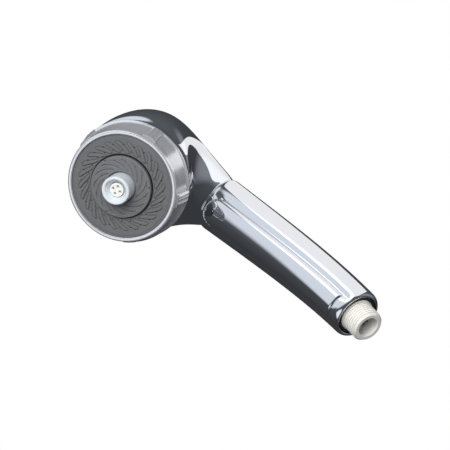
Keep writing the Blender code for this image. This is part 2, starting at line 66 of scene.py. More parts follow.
MM = 0.001
TAU = math.tau

# Head, as the CAD has it
TILT = math.radians(52)
FACE_R = 33.2
RING_FRONT_R = 35.8
RING_REAR_R = 38.6
RING_DEPTH = 17.4
RIBS = 5
RIB_START = math.radians(-4)
DISC_R = 19.9
DISC_TOP = 2.2
BOSS_R = 9.2
BOSS_TOP = 12.0
PLUG_R = 4.5
PLUG_TOP = 9.6

# Relief of the grip ring and the spray face
LAND_HEIGHT = 0.9
PANEL_DEPTH = 0.75
VANES = 24
VANE_INNER_R = 0.665 * FACE_R
VANE_OUTER_R = 0.86 * FACE_R
VANE_LEAN = math.radians(16.5)
JET_R = 0.5

# Elbow and handle
PIVOT_DROP = 42.0
ELBOW = math.radians(102.2)
ELBOW_LEAN = math.radians(5.3)
ELBOW_INNER = (3.8, 20.2)
ELBOW_OUTER = (80.2, 56.4)
HEAD_BULGE = 8.5
ELBOW_MID_R = 38
BULGE_SKEW = 0.6
CREASE_DEPTH = 1.5
SHOULDER = 3.0
HANDLE_SPINE = ((135.0, -34.6), (110.6, -25.1), (86.6, -16.8), (62.3, -8.9), (37.6, -3.0), (12.5, 0.0))
SPINE_END = len(HANDLE_SPINE) - 1
HANDLE_LENGTH = 128.0
HANDLE_TOP_R = 18.4
HANDLE_END_R = 16.2
VALLEY_ANGLE = math.radians(40)
VALLEY_WIDTH = math.radians(10)
VALLEY_DEPTH = 1.3
RIDGE_HEIGHT = 1.2
WALL = 2.6
RIM_ROUNDING = 1.8
RIM_SHARE = 0.028

# Front insert, its ends given as shares of the handle's length
INSERT_FROM = 0.02
INSERT_TO = 0.93
INSERT_ROUND = 11.0
INSERT_PROUD = 0.12
INSERT_ROLL = 1.0
INSERT_ROLL_WIDTH = 1.5
INSERT_UNDERSIDE = 1.35
POCKET_DEPTH = 1.5
SEAM = 0.35

# Inlet
THREAD_R = 10.48
THREAD_ROOT_R = 9.32
THREAD_PITCH = 1.814
NIPPLE_BORE_R = 6.6
RIM_Z = 12.5

HINGE = next(j for j in frame["record"]["behaviour"]["joints"] if j["name"] == "face_turn")
FACE_CENTRE = np.array(HINGE["pos_m"]) / MM
SPRAY = np.array([0, -math.sin(TILT), -math.cos(TILT)])
UP_FACE = np.array([0, -math.cos(TILT), math.sin(TILT)])
SIDE = np.array([1.0, 0, 0])


# ---------------------------------------------------------------- shapes

def ease(t):
    """Smooth rise from 0 to 1, flat at both ends."""
    t = np.clip(t, 0, 1)
    return t * t * (3 - 2 * t)


def step(low, high, x):
    """Smooth step from 0 at low to 1 at high."""
    return ease((x - low) / (high - low))


def piece(name, rows, body, nodes=(), slot=None, wrap=False, caps=(False, False)):
    """Mesh from a grid of closed rows of points: rows[i, j] runs along i and round j.

    wrap joins the last row to the first, and caps closes the first or last row with a fan
    about its mean point.
    """
    rows = np.asarray(rows, float)
    count, around = rows.shape[:2]
    points = rows.reshape(-1, 3)
    i = np.arange(count if wrap else count - 1)[:, None]
    j = np.arange(around)[None, :]
    here, there = i * around, (i + 1) % count * around
    turn = (j + 1) % around
    faces = np.stack([here + j, here + turn, there + turn, there + j], axis=-1).reshape(-1, 4)
    fans = []
    for end, row, flip in ((0, 0, True), (1, count - 1, False)):
        if caps[end]:
            hub = len(points)
            points = np.vstack([points, rows[row].mean(axis=0)])
            ring = row * around + np.arange(around)
            after = np.roll(ring, -1)
            pair = (after, ring) if flip else (ring, after)
            fans.append(np.stack([*pair, np.full(around, hub)], axis=-1))
    polygons = faces.tolist() + [face for fan in fans for face in fan.tolist()]
    mesh = bpy.data.meshes.new(name)
    mesh.from_pydata((points * MM).tolist(), [], polygons)
    mesh.shade_smooth()
    mesh.update()
    obj = bpy.data.objects.new(name, mesh)
    bpy.context.scene.collection.objects.link(obj)
    fix_outward(obj)
    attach(obj, body)
    if nodes:
        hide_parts(*nodes)
    if slot:
        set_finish(obj, slot)
    return obj


def fix_outward(obj):
    """Turn the faces outward if the closed mesh's signed volume is negative."""
    mesh = obj.data
    mesh.calc_loop_triangles()
    points = np.empty(len(mesh.vertices) * 3)
    mesh.vertices.foreach_get("co", points)
    corners = np.empty(len(mesh.loop_triangles) * 3, dtype=np.int64)
    mesh.loop_triangles.foreach_get("vertices", corners)
    a, b, c = points.reshape(-1, 3)[corners.reshape(-1, 3)].transpose(1, 0, 2)
    if np.einsum("ij,ij->", a, np.cross(b, c)) < 0:
        mesh.flip_normals()


def on_head(x, y, z):
    """Points from the head's own axes into the shared frame."""
    x, y, z = np.broadcast_arrays(x, y, z)
    return FACE_CENTRE + x[..., None] * SIDE + y[..., None] * UP_FACE + z[..., None] * SPRAY


def turned_rows(profile, around, place):
    """Rows of a turned shape: each (radius, height) of the profile swept through a full turn."""
    angle = np.linspace(0, TAU, around, endpoint=False)
    radius, height = np.asarray(profile, float).T
    x = radius[:, None] * np.cos(angle)
    y = radius[:, None] * np.sin(angle)
    return place(x, y, np.broadcast_to(height[:, None], x.shape))


def on_inlet(x, y, z):
    """Points about the inlet's axis, which is the shared frame's Z."""
    return np.stack(np.broadcast_arrays(x, y, z), axis=-1)


def rounded(corners, radius, steps=5):
    """Profile through corners, each turned into a quadratic curve of about the given radius."""
    corners = np.asarray(corners, float)
    path = [corners[0]]
    for before, corner, after in zip(corners, corners[1:], corners[2:]):
        cut = min(radius, np.linalg.norm(before - corner) / 2, np.linalg.norm(after - corner) / 2)
        start = corner + (before - corner) / np.linalg.norm(before - corner) * cut
        end = corner + (after - corner) / np.linalg.norm(after - corner) * cut
        for t in np.linspace(0, 1, steps):
            path.append((1 - t) ** 2 * start + 2 * t * (1 - t) * corner + t * t * end)
    path.append(corners[-1])
    return np.array(path)


def refined(profile, step_mm):
    """Profile with extra points so that no segment is longer than step_mm."""
    out = [profile[0]]
    for a, b in zip(profile, profile[1:]):
        parts = max(1, int(np.ceil(np.linalg.norm(b - a) / step_mm)))
        out += [a + (b - a) * k / parts for k in range(1, parts + 1)]
    return np.array(out)


# ---------------------------------------------------------------- body

def elbow_rows(inset, around, count):
    """Ovals that swing about the pivot beside the throat, from the ring to the handle.

    At share t of the swing the oval reaches from the throat radius to the crown radius, and
    its half width eases from the ring's radius to the handle's with a swell behind the ring.
    """
    across = -UP_FACE
    pivot = FACE_CENTRE - SPRAY * (RING_DEPTH + 0.3) + across * PIVOT_DROP
    turn = np.linspace(0, TAU, around, endpoint=False)
    rows = []
    for t in np.linspace(0, 1, count)[:-1]:
        swing = t * ELBOW
        out = -across * math.cos(swing) - SPRAY * math.sin(swing)
        swing += ELBOW_LEAN * ease(t)
        plane = -across * math.cos(swing) - SPRAY * math.sin(swing)
        inner = ELBOW_INNER[0] + (ELBOW_INNER[1] - ELBOW_INNER[0]) * t + inset
        outer = ELBOW_OUTER[0] + (ELBOW_OUTER[1] - ELBOW_OUTER[0]) * ease(t) - inset
        half = RING_REAR_R + (HANDLE_TOP_R - RING_REAR_R) * ease(t) - inset
        half += HEAD_BULGE * math.sin(math.pi * t ** BULGE_SKEW)
        pinch = 0.0 if inset else CREASE_DEPTH * math.exp(-(1 - t) * ELBOW * ELBOW_MID_R / SHOULDER)
        middle = pivot + out * (inner + outer) / 2
        reach = (outer - inner) / 2 - pinch
        along = np.outer(np.cos(turn), plane * reach)
        across_body = np.outer(np.sin(turn), SIDE * (half - pinch))
        rows.append(middle - along + across_body)
    return rows


def spine(steps):
    """Centre line of the handle and its direction, for places along it from 0 to 5."""
    given = np.array(HANDLE_SPINE)
    bend_z = np.poly1d(np.polyfit(range(len(given)), given[:, 0], 3))
    bend_y = np.poly1d(np.polyfit(range(len(given)), given[:, 1], 3))
    line = np.stack([np.zeros(len(steps)), bend_y(steps), bend_z(steps)], axis=1)
    ahead = np.stack([np.zeros(len(steps)), bend_y.deriv()(steps), bend_z.deriv()(steps)], axis=1)
    return line, ahead / np.linalg.norm(ahead, axis=1)[:, None]


def about_spine(place, along, angle, radius):
    """Points at the angles and radii round a place on the handle's centre line, from the front."""
    front = np.cross(along, SIDE)
    return place + np.outer(np.cos(angle) * radius, front) + np.outer(np.sin(angle) * radius, SIDE)


def off_front(angle):
    """How far an angle is from the front of the handle, either way."""
    return np.abs((angle + math.pi) % TAU - math.pi)


def handle_radius(angle, share):
    """Radius round the handle: a plain taper, a soft ridge in front and a valley each side."""
    plain = HANDLE_TOP_R + (HANDLE_END_R - HANDLE_TOP_R) * share
    fade = ease(share / 0.08) * ease((1 - share) / 0.06)
    off = off_front(angle)
    valley = np.exp(-((off - VALLEY_ANGLE) / VALLEY_WIDTH) ** 2) * VALLEY_DEPTH
    ridge = np.clip(1 - off / VALLEY_ANGLE, 0, 1) * RIDGE_HEIGHT
    return plain + (ridge - valley) * fade


def insert_edge(share):
    """Half angle of the front insert: constant, closing in a half round at its top end."""
    down = np.clip((share - INSERT_FROM) * HANDLE_LENGTH / INSERT_ROUND, 0, 1)
    return (VALLEY_ANGLE - math.radians(4)) * np.sqrt(1 - (1 - down) ** 2)


def body_skin():
    """Outer skin down the elbow and handle, over the inlet rim, and back up the inner wall."""
    around = 216
    turn = np.linspace(0, TAU, around, endpoint=False)
    outer = elbow_rows(0, around, 90)
    shares = np.concatenate([np.linspace(0, 0.12, 44)[:-1], np.linspace(0.12, 0.93, 90)[:-1],
                             np.linspace(0.93, 1, 24)])
    line, ahead = spine(shares * SPINE_END)
    for share, place, along in zip(shares, line, ahead):
        radius = handle_radius(turn, share)
        shoulder = max(0.0, 1 - share * HANDLE_LENGTH / SHOULDER)
        radius = radius - CREASE_DEPTH * (1 - math.sqrt(1 - shoulder ** 2)) * np.ones(around)
        edge = insert_edge(share)
        inside = step(0.0, 0.35, (edge + SEAM / HANDLE_TOP_R - off_front(turn)) * HANDLE_TOP_R)
        begun = step(INSERT_FROM - 0.004, INSERT_FROM + 0.002, share)
        ended = step(INSERT_TO, INSERT_TO + 0.004, share)
        radius = radius - POCKET_DEPTH * inside * (begun * (1 - ended))
        lip = max(0.0, (share - 1 + RIM_SHARE) / RIM_SHARE)
        radius = radius - RIM_ROUNDING * (1 - math.sqrt(max(0.0, 1 - lip ** 2)))
        outer.append(about_spine(place, along, turn, radius))
    inlet = [(14.0, RIM_Z), (13.6, RIM_Z + 0.2), (13.4, RIM_Z + 0.6), (13.4, RIM_Z + 2.1),
             (11.3, RIM_Z + 2.1), (11.3, RIM_Z + 12.0), (12.8, RIM_Z + 13.0)]
    lip_rows = []
    for radius, height in refined(np.array(inlet), 0.8):
        level = np.full(around, height)
        lip_rows.append(np.stack([np.sin(turn) * radius, -np.cos(turn) * radius, level], axis=1))
    back = np.linspace(0.80, 0, 30)
    line, ahead = spine(back * SPINE_END)
    inner = []
    for share, place, along in zip(back, line, ahead):
        inner.append(about_spine(place, along, turn, handle_radius(turn, share) - WALL))
    inner += elbow_rows(WALL, around, 30)[::-1]
    rows = np.array(outer + lip_rows + inner)
    return piece("body_skin", rows, "handset", ("body_shell",), "chrome", wrap=True)


def insert_skin():
    """Front insert: an arc of the handle's wall, its edges rolled over, with a round top end.

    Each row goes over the outer face from edge to edge and back underneath; the outer face
    drops in a quarter round near its edge.
    """
    fine = INSERT_FROM + (INSERT_TO - INSERT_FROM) * np.concatenate(
        [np.linspace(0.0005, 0.11, 36), np.linspace(0.11, 1, 110)[1:]])
    line, ahead = spine(fine * SPINE_END)
    rows = []
    for share, place, along in zip(fine, line, ahead):
        half = insert_edge(share)
        end = min((share - INSERT_FROM), (INSERT_TO - share)) * HANDLE_LENGTH
        angles = half * np.sin(np.linspace(-math.pi / 2, math.pi / 2, 81))
        rim = (half - np.abs(angles)) * HANDLE_TOP_R
        near = np.clip(np.minimum(rim, end + 0.02) / INSERT_ROLL_WIDTH, 0, 1)
        roll = INSERT_ROLL * (1 - np.sqrt(1 - (1 - near) ** 2))
        high = handle_radius(angles, share) - roll + INSERT_PROUD
        low = handle_radius(angles, share) - INSERT_UNDERSIDE
        radius = np.concatenate([high, low[::-1]])
        angle = np.concatenate([angles, angles[::-1]])
        rows.append(about_spine(place, along, angle, radius))
    return piece("grip_insert_skin", np.array(rows), "handset", ("front_grip_insert",), "chrome",
                 caps=(True, True))


# ---------------------------------------------------------------- grip ring

def ring_skin():
    """Grip ring: a turned section whose outer side is raised on five lands between panels.

    The outer radius is the cone plus the land's height; the land mask is one minus a panel
    mask, a rounded box in the angle and depth directions.
    """
    around = 720
    angle = np.linspace(0, TAU, around, endpoint=False)
    rear = -RING_DEPTH
    outer = [(FACE_R + 0.25, 0.35), (FACE_R + 0.7, 0.8), (RING_FRONT_R - 0.5, 0.8),
             (RING_FRONT_R + 0.25, 0.1), (RING_FRONT_R + 0.45, -1.6), (RING_REAR_R - 0.1, rear + 1.2),
             (RING_REAR_R + 0.25, rear + 0.7), (RING_REAR_R + 0.25, rear + 0.2), (RING_REAR_R - 0.1, rear)]
    profile = refined(rounded(outer, 0.5, 4), 0.55)
    inner = refined(np.array([(RING_REAR_R - 2.4, rear), (RING_REAR_R - 3.2, -9), (FACE_R + 0.3, -6),
                              (FACE_R + 0.25, -0.2)]), 3.0)
    section = np.vstack([profile, inner])
    radius = np.repeat(section[:, :1], around, axis=1)
    height = np.repeat(section[:, 1:], around, axis=1)
    phase = (angle - RIB_START + math.pi / RIBS) % (TAU / RIBS) - math.pi / RIBS
    beside = np.abs(phase)[None, :] * RING_REAR_R
    half_land = 3.3 + 1.6 * step(-4.6, -2.0, height) ** 2
    sides = step(half_land - 0.35, half_land + 0.25, beside)
    front_end = step(-3.4, -2.7, height + 0.02 * (beside / 6) ** 2)
    length = step(rear + 1.0, rear + 1.6, height) * (1 - front_end)
    outside = (np.arange(len(section)) < len(profile))[:, None]
    land = LAND_HEIGHT * step(-0.4, -2.6, height) * step(rear + 0.1, rear + 1.5, height) * (1 - sides)
    slot_ends = (1 - step(-4.4, -3.6, height)) * step(rear + 0.8, rear + 2.0, height)
    slot = 0.35 * np.exp(-((beside - 1.5) / 0.35) ** 2) * slot_ends
    panel = PANEL_DEPTH * sides * length
    radius = radius + outside * (land - panel - slot)
    rows = on_head(radius * np.cos(angle), radius * np.sin(angle), height)
    return piece("grip_ring_skin", rows, "face", ("mode_ring",), "chrome", wrap=True)


# ---------------------------------------------------------------- spray face

def turned_disc(name, profile, relief, around, body, nodes, slot):
    """Closed turned solid with a relief(radius, angle) height added where the profile faces front.

    The profile runs from the bore's top edge outwards, down and back; relief is faded out
    below the front face.
    """
    angle = np.linspace(0, TAU, around, endpoint=False)
    section = np.asarray(profile, float)
    radius = np.repeat(section[:, :1], around, axis=1)
    height = np.repeat(section[:, 1:2], around, axis=1)
    shown = section[:, 2:3]
    height = height + shown * relief(radius, np.broadcast_to(angle, radius.shape))
    rows = on_head(radius * np.cos(angle), radius * np.sin(angle), height)
    return piece(name, rows, body, nodes, slot, wrap=True)


def front_section(inner, outer, top, bottom, edge, cells):
    """Section of a disc: fine steps across the front face, a rounded rim, then the back."""
    across = [(r, top, 1.0) for r in np.linspace(inner, outer - edge, cells)]
    bend = [(outer - edge + edge * math.sin(a), top - edge + edge * math.cos(a), 0.0)
            for a in np.linspace(math.pi / 8, math.pi / 2, 4)]
    return across + bend + [(outer, bottom, 0.0), (inner, bottom, 0.0)]


def pits(radius, angle, ring, count, start, size, depth):
    """Round pits evenly spaced on a circle: depth inside size, easing out over a tenth."""
    spread = TAU / count
    off = (angle - start + spread / 2) % spread - spread / 2
    away = np.hypot(radius - ring, off * ring)
    return -depth * (1 - step(size * 0.8, size * 1.15, away))


def vane_relief(radius, angle):
    """Raised leaning vanes, each a bar with round ends, and two circles of jets."""
    t = np.clip((radius - VANE_INNER_R) / (VANE_OUTER_R - VANE_INNER_R), 0, 1)
    lean = VANE_LEAN * (1 - t) ** 1.15
    spread = TAU / VANES
    off = (angle + lean + spread / 2) % spread - spread / 2
    beyond = np.maximum(radius - VANE_OUTER_R + 0.9, 0) + np.maximum(VANE_INNER_R + 0.9 - radius, 0)
    away = np.hypot(off * radius * 0.72, beyond)
    bar = 0.55 * (1 - step(0.75, 1.15, away))
    trough = -0.3 * np.exp(-((away - 1.45) / 0.35) ** 2)
    jets = pits(radius, angle, 0.815 * FACE_R, VANES, math.radians(7), JET_R, 1.0)
    jets = jets + pits(radius, angle, 0.70 * FACE_R, VANES, math.radians(-6), JET_R * 0.9, 1.0)
    rim = 0.21 * step(0.955 * FACE_R, 0.965 * FACE_R, radius)
    return bar + trough + jets - rim


def disc_relief(radius, angle):
    """Curled grooves between the cup and the edge, a circle of jets and three edge notches."""
    t = np.clip((radius - 0.34 * FACE_R) / (0.21 * FACE_R), 0, 1)
    spread = TAU / 15
    off = (angle + math.radians(48) * (1 - t) + spread / 2) % spread - spread / 2
    beyond = np.maximum(radius - 0.53 * FACE_R, 0) + np.maximum(0.36 * FACE_R - radius, 0)
    away = np.hypot(off * radius * 0.5, beyond)
    groove = -0.4 * (1 - step(0.25, 0.7, away)) + 0.12 * np.exp(-((away - 0.95) / 0.3) ** 2)
    jets = pits(radius, angle, 0.52 * FACE_R, 15, math.radians(14), 0.42, 0.9)
    notch = pits(radius, angle, 0.585 * FACE_R, 3, math.radians(57), 1.0, 0.9)
    return groove + jets + notch


def face_pieces():
    """Outer spray face, raised inner disc, cup and plug."""
    outer = front_section(DISC_R + 1.3, FACE_R, 0.0, -8.5, 0.4, 80)
    gap = [(DISC_R + 0.35, -8.5, 0.0), (DISC_R + 0.35, -1.4, 0.0), (DISC_R + 0.95, -1.4, 0.0),
           (DISC_R + 1.05, -0.3, 0.0)]
    turned_disc("spray_face_skin", gap + outer[:-1], vane_relief, 960, "face", ("spray_face",),
                "face_grey")
    inner = front_section(BOSS_R + 1.1, DISC_R, DISC_TOP, -2.6, 0.5, 60)
    gap = [(BOSS_R + 0.3, -2.6, 0.0), (BOSS_R + 0.3, 0.9, 0.0), (BOSS_R + 0.7, 0.9, 0.0),
           (BOSS_R + 0.85, DISC_TOP - 0.3, 0.0)]
    turned_disc("inner_disc_skin", gap + inner[:-1], disc_relief, 720, "face", ("inner_spray_disc",),
                "disc_grey")
    cup = [(PLUG_R + 0.3, PLUG_TOP - 1.4), (PLUG_R + 0.7, PLUG_TOP - 0.7), (BOSS_R - 2.5, BOSS_TOP - 0.9),
           (BOSS_R - 1.9, BOSS_TOP), (BOSS_R - 0.5, BOSS_TOP), (BOSS_R, BOSS_TOP - 0.8), (BOSS_R, 3.0),
           (BOSS_R, -3.4), (PLUG_R + 0.3, -3.4)]
    cup = refined(rounded(cup, 0.6), 0.9)
    piece("centre_cup_skin", turned_rows(cup, 128, on_head), "face", ("centre_boss",), "boss_pale",
          wrap=True)
    plug = [(r, PLUG_TOP, 1.0) for r in np.linspace(0.12, PLUG_R - 0.5, 34)]
    plug += [(PLUG_R - 0.5 + 0.5 * math.sin(a), PLUG_TOP - 0.5 + 0.5 * math.cos(a), 0.0)
             for a in np.linspace(0.3, math.pi / 2, 5)]
    plug += [(PLUG_R, 0.3, 0.0), (0.12, 0.3, 0.0)]
    turned_disc("jet_plug_skin", plug, plug_relief, 160, "face", ("jet_plug",), "plug_white")


def plug_relief(radius, angle):
    """Four holes on a circle."""
    return pits(radius, angle, 2.4, 4, math.radians(2), 0.85, 2.6)


# ---------------------------------------------------------------- inlet

def nipple_skin():
    """Threaded nipple: the outer radius follows a rounded helical thread, fading at both ends.

    At angle a and height z the thread's phase is z over the pitch less a over a full turn;
    the radius rises from root to crest where the phase is near a half.
    """
    around = 120
    angle = np.linspace(0, TAU, around, endpoint=False)
    low, high = 0.5, RIM_Z + 0.4
    outside = np.linspace(low, high, 110)
    phase = (outside[:, None] / THREAD_PITCH - angle / TAU) % 1
    crest = step(0.12, 0.38, phase) * (1 - step(0.62, 0.88, phase))
    fade = step(0.3, 1.6, outside)[:, None]
    radius = THREAD_ROOT_R + (THREAD_R - THREAD_ROOT_R) * crest * fade
    radius = np.minimum(radius, (THREAD_ROOT_R - 0.4 + outside * 0.9)[:, None])
    top = RIM_Z + 22
    wall = refined(np.array([(THREAD_ROOT_R, RIM_Z + 0.6), (11.0, RIM_Z + 0.6), (11.0, top - 3.6),
                             (9.0, top), (7.4, top), (7.4, RIM_Z + 12), (5.0, RIM_Z + 12),
                             (5.0, RIM_Z + 9.6), (NIPPLE_BORE_R, RIM_Z + 9.6)]), 3.0)
    mouth = rounded([(NIPPLE_BORE_R, RIM_Z), (NIPPLE_BORE_R, 0.0), (THREAD_ROOT_R - 0.1, 0.0),
                     (THREAD_ROOT_R, 0.5)], 0.5)
    thread = np.stack([radius * np.cos(angle), radius * np.sin(angle),
                       np.broadcast_to(outside[:, None], radius.shape)], axis=-1)
    rows = np.concatenate([thread, turned_rows(wall, around, on_inlet),
                           turned_rows(refined(mouth, 1.5), around, on_inlet)])
    return piece("inlet_nipple_skin", rows, "handset", ("inlet_nipple",), "inlet_white", wrap=True)


def gasket_skin():
    """Dark gasket behind the rim, with a rounded inner lip."""
    profile = rounded([(13.0, RIM_Z + 1.7), (13.0, RIM_Z + 0.9), (12.2, RIM_Z + 0.5), (11.35, RIM_Z + 0.7),
                       (11.35, RIM_Z + 1.7)], 0.3)
    piece("gasket_skin", turned_rows(profile, 96, on_inlet), "handset", ("inlet_gasket",), "rubber_black",
          wrap=True)


# ---------------------------------------------------------------- finishes

class Varying:
    """A number that varies over a surface; arithmetic on it adds Math nodes."""

    def __init__(self, finish, socket):
        self.finish = finish
        self.socket = socket

    def math(self, operation, *values):
        """Result of one Math node fed with the values."""
        given = {k: v for k, v in enumerate(values)}
        made = self.finish.node("ShaderNodeMath", {"operation": operation}, given)
        return Varying(self.finish, made.outputs[0])

    def __add__(self, other):
        return self.math("ADD", self, other)

    def __sub__(self, other):
        return self.math("SUBTRACT", self, other)

    def __rsub__(self, other):
        return self.math("SUBTRACT", other, self)

    def __mul__(self, other):
        return self.math("MULTIPLY", self, other)

    __radd__ = __add__
    __rmul__ = __mul__

    def eased(self):
        """The same 0 to 1 value with its ends flattened."""
        return self * self * (3 - 2 * self)

    def between(self, low, high):
        """Clamped share of the way from low to high."""
        made = self.finish.node("ShaderNodeMapRange", {"clamp": True}, {0: self, 1: low, 2: high})
        return Varying(self.finish, made.outputs[0])


class Nodes:
    """A shader tree with one way to add nodes to it."""

    def __init__(self, tree):
        self.tree = tree

    def node(self, kind, settings=None, sockets=None):
        """Add a node: settings first, then a value or a link for each named socket."""
        made = self.tree.nodes.new(kind)
        for name, value in (settings or {}).items():
            setattr(made, name, value)
        for name, value in (sockets or {}).items():
            if isinstance(value, Varying):
                value = value.socket
            if isinstance(value, bpy.types.NodeSocket):
                self.tree.links.new(value, made.inputs[name])
            else:
                made.inputs[name].default_value = value
        return made


class Finish(Nodes):
    """One material: a Principled shader with constants set on it and patterns linked to it."""

    def __init__(self, name, color, roughness, metallic=0.0, **constants):
        self.material = bpy.data.materials.new(name)
        self.material.use_nodes = True
        super().__init__(self.material.node_tree)
        self.shader = self.tree.nodes["Principled BSDF"]
        self.color = (*color, 1.0)
        self.roughness = roughness
        self.shader.inputs["Base Color"].default_value = self.color
        self.shader.inputs["Roughness"].default_value = roughness
        self.shader.inputs["Metallic"].default_value = metallic
        for socket, value in constants.items():
            self.shader.inputs[socket.replace("_", " ")].default_value = value
        self.place = self.node("ShaderNodeTexCoord").outputs["Object"]

    def noise(self, scale, detail=3.0, roughness=0.55, stretch=None):
        """Noise over the object, squeezed or drawn out along its axes by stretch."""
        where = self.place
        if stretch:
            where = self.node("ShaderNodeMapping", None, {"Vector": where, "Scale": stretch}).outputs[0]
        made = self.node("ShaderNodeTexNoise", None, {
            "Vector": where, "Scale": scale, "Detail": detail, "Roughness": roughness})
        return Varying(self, made.outputs["Fac"])

    def cells(self, scale):
        """Distance from the nearest of many scattered points."""
        made = self.node("ShaderNodeTexVoronoi", None, {"Vector": self.place, "Scale": scale})
        return Varying(self, made.outputs["Distance"])

    def edges(self, radius):
        """Pointiness as a 0 to 1 mask: of convex edges, or of grooves if radius is negative."""
        made = self.node("ShaderNodeNewGeometry")
        return Varying(self, made.outputs["Pointiness"]).between(0.5, 0.5 + radius)

    def tint(self, mask, color):
        """Lay a colour over the base where the mask is high."""
        made = self.node("ShaderNodeMix", {"data_type": "RGBA"})
        self.tree.links.new(mask.socket, made.inputs["Factor"])
        before = self.shader.inputs["Base Color"]
        if before.links:
            self.tree.links.new(before.links[0].from_socket, made.inputs["A"])
        else:
            made.inputs["A"].default_value = self.color
        made.inputs["B"].default_value = (*color, 1.0)
        self.tree.links.new(made.outputs["Result"], before)
        return self

    def rough(self, value):
        """Let the value drive the roughness."""
        self.tree.links.new(value.socket, self.shader.inputs["Roughness"])
        return self

    def bump(self, height, depth):
        """Tilt the shading by a height of 0 to 1, which stands for a depth in millimetres."""
        made = self.node("ShaderNodeBump", None, {
            "Height": height, "Strength": 1.0, "Distance": depth * MM})
        self.tree.links.new(made.outputs[0], self.shader.inputs["Normal"])
        return self


def polished_chrome():
    """Bright plating: faint smears and dried drops dull it, and it ripples very slightly."""
    made = Finish("polished_chrome", (0.80, 0.81, 0.84), 0.06, metallic=1.0)
    smears = made.noise(55, 4, 0.6, (1.0, 1.0, 0.35)).between(0.45, 0.75)
    drops = 1 - made.cells(260).between(0.08, 0.30)
    where = made.noise(30, 2).between(0.60, 0.72)
    spots = drops * where
    made.tint(smears * 0.10, (0.70, 0.71, 0.73))
    made.tint(spots * 0.25, (0.74, 0.74, 0.74))
    made.rough(0.035 + smears * 0.05 + spots * 0.14)
    made.bump(made.noise(90, 2) + made.noise(700, 2) * 0.06, 0.02)
    return made


def moulded(name, color, roughness, grain=0.012, worn=(0.3, 0.3, 0.3), chalk=0.25):
    """Moulded plastic: fine grain, slow colour drift, paler worn edges, traces of lime and painted shade
    in the grooves.
    """
    made = Finish(name, color, roughness)
    drift = made.noise(60, 4)
    lime = made.noise(180, 5, 0.65).between(0.58, 0.80)
    made.tint(drift.between(0.35, 0.75) * 0.30, tuple(c * 0.78 for c in color))
    made.tint(lime * chalk, worn)
    made.tint(made.edges(0.06) * 0.35, worn)
    # Painted shade: grooves and creases are darkened towards half the base colour.
    made.tint(made.edges(-0.05) * 0.55, tuple(c * 0.5 for c in color))
    made.rough(roughness - 0.06 + drift * 0.12 + lime * 0.10)
    made.bump(made.noise(2600, 3, 0.7) + drift * 0.4, grain)
    return made


def soft_rubber():
    """Matt black rubber with a dusty bloom."""
    made = Finish("soft_rubber", (0.022, 0.022, 0.023), 0.8)
    bloom = made.noise(120, 5, 0.7).between(0.45, 0.75)
    made.tint(bloom * 0.5, (0.055, 0.055, 0.055))
    made.rough(0.68 + bloom * 0.2)
    made.bump(made.noise(1800, 3), 0.02)
    return made


def bright_steel():
    """Plain steel with fine drawn lines and small dull patches."""
    made = Finish("bright_steel", (0.56, 0.57, 0.58), 0.3, metallic=1.0)
    lines = made.noise(900, 3, 0.7, (1.0, 1.0, 0.08))
    dull = made.noise(140, 4).between(0.5, 0.75)
    made.tint(dull * 0.4, (0.42, 0.41, 0.40))
    made.rough(0.22 + lines * 0.12 + dull * 0.15)
    made.bump(lines, 0.01)
    return made


FINISHES = {
    "chrome": polished_chrome(),
    "face_grey": moulded("spray_face_plastic", (0.142, 0.142, 0.146), 0.46, worn=(0.24, 0.24, 0.24)),
    "disc_grey": moulded("inner_disc_plastic", (0.160, 0.160, 0.164), 0.44, worn=(0.26, 0.26, 0.26)),
    "boss_pale": moulded("cup_plastic", (0.70, 0.75, 0.79), 0.28, 0.008, (0.75, 0.77, 0.78), 0.15),
    "plug_white": moulded("plug_plastic", (0.88, 0.87, 0.83), 0.40, 0.008, (0.88, 0.87, 0.84), 0.2),
    "inlet_white": moulded("inlet_plastic", (0.90, 0.87, 0.81), 0.42, 0.0007, (0.90, 0.88, 0.84), 0.12),
    "acetal": moulded("acetal_plastic", (0.70, 0.70, 0.67), 0.42, 0.010, (0.82, 0.82, 0.80), 0.2),
    "engine_black": moulded("valve_plastic", (0.028, 0.028, 0.030), 0.48, 0.012, (0.09, 0.09, 0.09), 0.3),
    "blue_plastic": moulded("tinted_plastic", (0.07, 0.17, 0.36), 0.32, 0.008, (0.2, 0.3, 0.45), 0.2),
    "rubber_black": soft_rubber(),
    "steel": bright_steel(),
}


def satin_chrome():
    """The grip ring's plating, a little duller than the body's, with fine drawn lines."""
    made = Finish("satin_chrome", (0.78, 0.78, 0.80), 0.22, metallic=0.6)
    smears = made.noise(60, 4, 0.6).between(0.42, 0.75)
    lines = made.noise(420, 3, 0.6, (1.0, 1.0, 0.3))
    made.tint(smears * 0.25, (0.70, 0.70, 0.72))
    made.rough(0.17 + smears * 0.10 + lines * 0.05)
    made.bump(made.noise(120, 2) + lines * 0.08, 0.015)
    return made


FINISHES["satin_chrome"] = satin_chrome()
OWN_FINISH = {"grip_ring_skin": "satin_chrome"}


def dress():
    """Give each carried-over node and each new piece the finish of its slot."""
    slots = {part["node"]: part["material_slot"] for part in frame["record"]["subparts"]}
    for name, obj in frame["nodes"].items():
        finish = FINISHES[slots[name]].material
        obj.data.materials.clear()
        obj.data.materials.append(finish)
    for obj in bpy.data.objects:
        if obj.type == "MESH" and obj.get("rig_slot"):
            obj.data.materials.clear()
            obj.data.materials.append(FINISHES[OWN_FINISH.get(obj.name, obj["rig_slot"])].material)


# ---------------------------------------------------------------- studio

VIEW_BACK = Vector((0.3766, -0.6286, -0.6804)).normalized()
VIEW_RIGHT = Vector((0.408, 0.772, -0.4874))
VIEW_RIGHT = (VIEW_RIGHT - VIEW_BACK * VIEW_RIGHT.dot(VIEW_BACK)).normalized()
VIEW_UP = VIEW_BACK.cross(VIEW_RIGHT)
AIM = Vector(FACE_CENTRE * MM) + VIEW_RIGHT * 0.06455 - VIEW_UP * 0.02419
LENS = 200.0
CAMERA_AWAY = 1.5625


